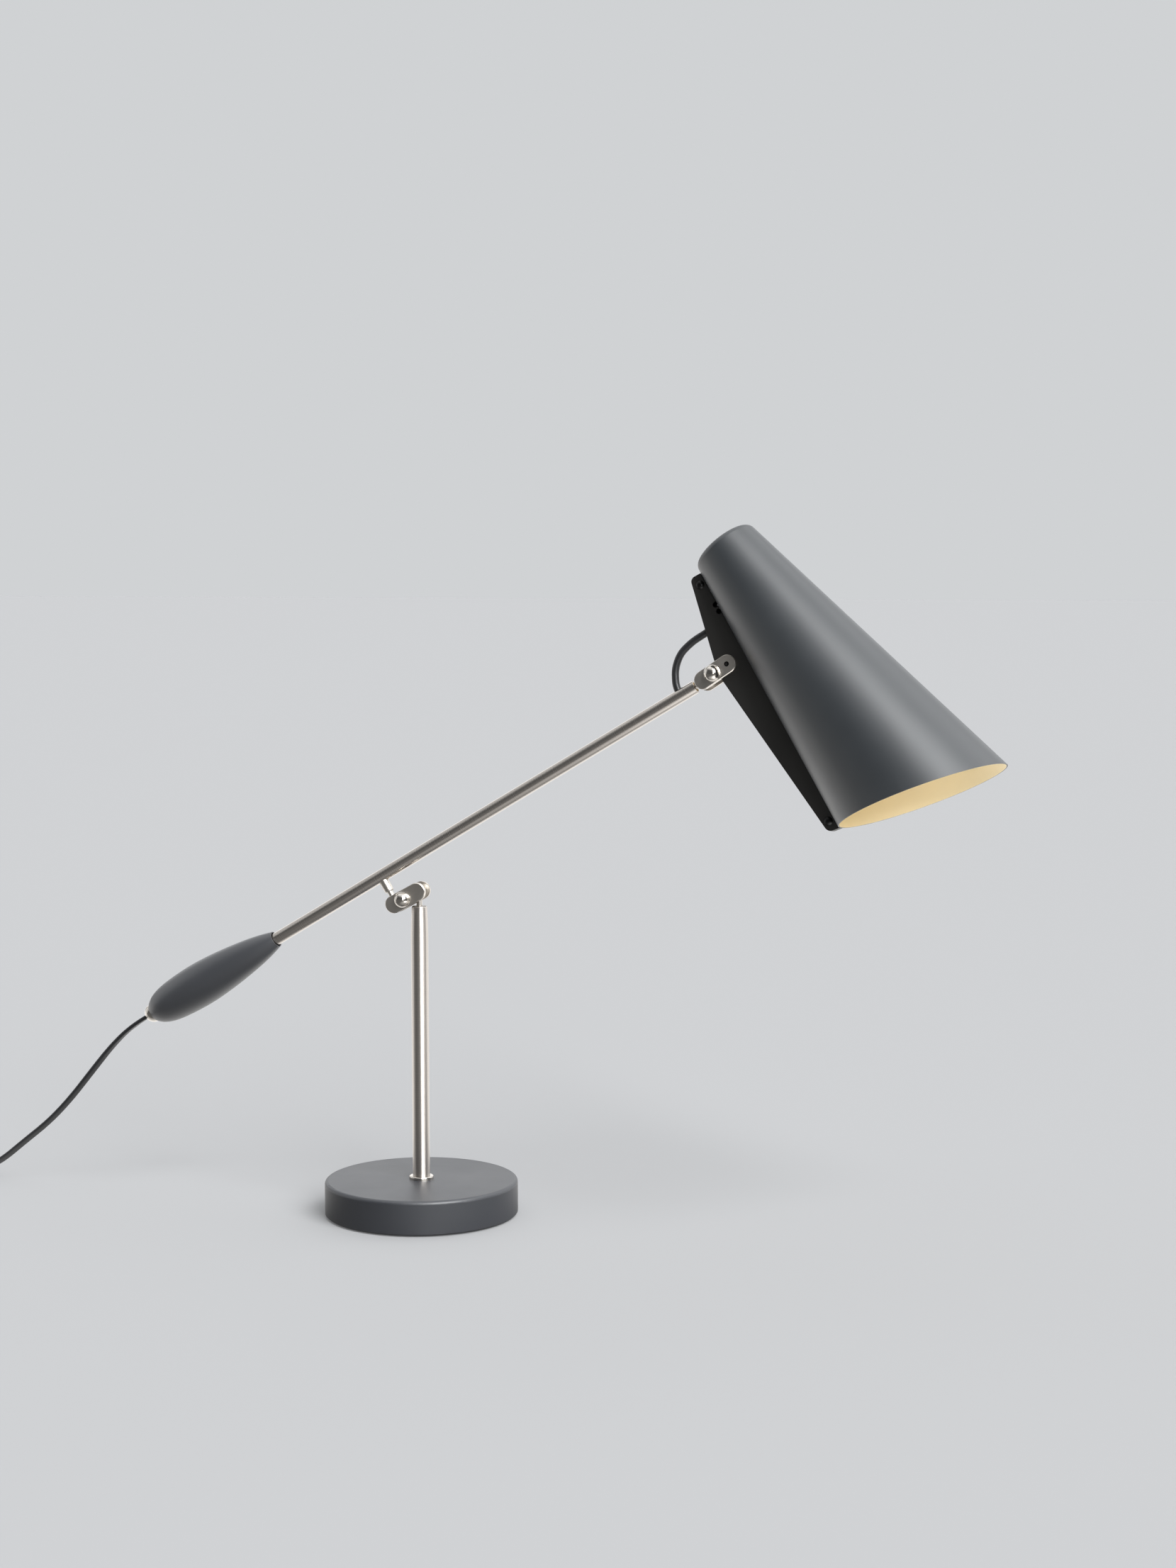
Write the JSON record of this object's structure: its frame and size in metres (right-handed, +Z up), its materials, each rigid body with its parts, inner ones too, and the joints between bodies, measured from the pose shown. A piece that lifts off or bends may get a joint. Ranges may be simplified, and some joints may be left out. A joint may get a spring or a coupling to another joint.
{
  "type": "swing arm desk lamp",
  "caption": "Desk lamp with a heavy round base, a short pole, a counterweighted swing arm on a double ball clamp, and a cone shade with an oblique mouth.",
  "frame": {"origin": "centre of the base's underside, on the table", "axes": "+Z up along the pole, +X towards the shade in the plane of the arm, +Y across the arm"},
  "size_m": [0.8589, 0.1516, 0.4601],
  "materials": {
    "base_paint": "matte blue-grey paint",
    "rubber": "matte",
    "nickel": "brushed nickel plate",
    "polished_nickel": "polished nickel plate",
    "steel": "zinc-plated steel",
    "brass": "plain turned brass",
    "grip_paint": "satin dark grey paint",
    "shade_paint": "spun aluminium, satin dark grey paint outside, cream inside",
    "fin_paint": "matte black paint",
    "black_screw": "black oxide",
    "lead": "smooth flexible sheath",
    "black_plastic": "fine grain",
    "rocker_plastic": "gloss",
    "holder_plastic": "fine grain",
    "ceramic_white": "glazed",
    "bulb_glass": "frosted inside"
  },
  "bodies": {
    "base": {"base_weight": "base_paint", "base_pad": "rubber", "pole_tube": "nickel", "pole_collar": "polished_nickel", "pole_foot_plug": "steel", "base_fixing_screw": "steel", "base_washer": "steel", "pole_top_bush": "brass"},
    "pole_stud": {"pole_ball_stud": "nickel"},
    "pole_clamp": {"pole_clamp_front_plate": "nickel", "pole_clamp_back_plate": "nickel", "pole_clamp_screw": "polished_nickel", "pole_dome_nut": "polished_nickel"},
    "arm_stud": {"arm_ball_stud": "nickel"},
    "arm": {"arm_tube": "nickel", "arm_stub_socket": "nickel", "arm_head_bush": "brass", "counterweight_grip": "grip_paint", "lead_gland": "polished_nickel", "arm_lead": "lead", "mains_lead": "lead", "mains_lead_switched": "lead", "lead_coil": "lead", "plug_lead": "lead", "switch_housing_lower": "black_plastic", "switch_housing_upper": "black_plastic", "plug_body": "black_plastic", "plug_pins": "polished_nickel", "head_lead_loop": "lead"},
    "rocker": {"switch_rocker": "rocker_plastic"},
    "head_stud": {"head_ball_stud": "nickel"},
    "head_clamp": {"head_clamp_front_plate": "nickel", "head_clamp_back_plate": "nickel", "head_clamp_screw": "polished_nickel", "head_dome_nut": "polished_nickel"},
    "head": {"fin_channel": "fin_paint", "fin_screws": "black_screw", "shade_lug_top": "steel", "shade_lug_foot": "steel", "pivot_pin": "nickel", "pivot_spacer": "steel", "shade": "shade_paint", "holder_bracket": "steel", "bracket_screws": "steel", "holder_lead": "lead", "holder_nipple": "brass", "holder_nut": "brass", "holder_cap": "holder_plastic", "holder_skirt": "holder_plastic", "holder_contact_block": "ceramic_white", "holder_thread_shell": "brass", "bulb_cap": "brass", "bulb_glass": "bulb_glass"}
  },
  "joints": [
    {"name": "pole_swivel", "type": "hinge", "parent": "base", "child": "pole_stud", "pos_m": [0, 0, 0.2], "axis": [0, 0, 1], "range_deg": [-170, 170]},
    {"name": "pole_tilt", "type": "hinge", "parent": "pole_stud", "child": "pole_clamp", "pos_m": [0, 0, 0.219], "axis": [0, 1, 0], "range_deg": [-1.5, 30]},
    {"name": "arm_tilt", "type": "hinge", "parent": "pole_clamp", "child": "arm_stud", "pos_m": [-0.01627, 0, 0.20998], "axis": [0, -1, 0], "range_deg": [-30, 35]},
    {"name": "arm_swivel", "type": "hinge", "parent": "arm_stud", "child": "arm", "pos_m": [-0.01627, 0, 0.20998], "axis": [-0.5128, 0, 0.8585], "range_deg": [-60, 60]},
    {"name": "head_swivel", "type": "hinge", "parent": "arm", "child": "head_stud", "pos_m": [0.19595, 0, 0.36132], "axis": [0.8585, 0, 0.5128], "range_deg": [-75, 90], "deforming": ["head_lead_loop"]},
    {"name": "head_tilt", "type": "hinge", "parent": "head_stud", "child": "head_clamp", "pos_m": [0.19595, 0, 0.36132], "axis": [0.0784, 0.9882, -0.1313], "range_deg": [-35, 35]},
    {"name": "shade_tilt", "type": "hinge", "parent": "head_clamp", "child": "head", "pos_m": [0.2113, 0.00016, 0.37166], "axis": [-0.0784, -0.9882, 0.1313], "range_deg": [-18, 28]},
    {"name": "switch_rock", "type": "hinge", "parent": "arm", "child": "rocker", "pos_m": [-0.373, 0, 0.0106], "axis": [0, 1, 0], "range_deg": [-7, 7]}
  ]
}
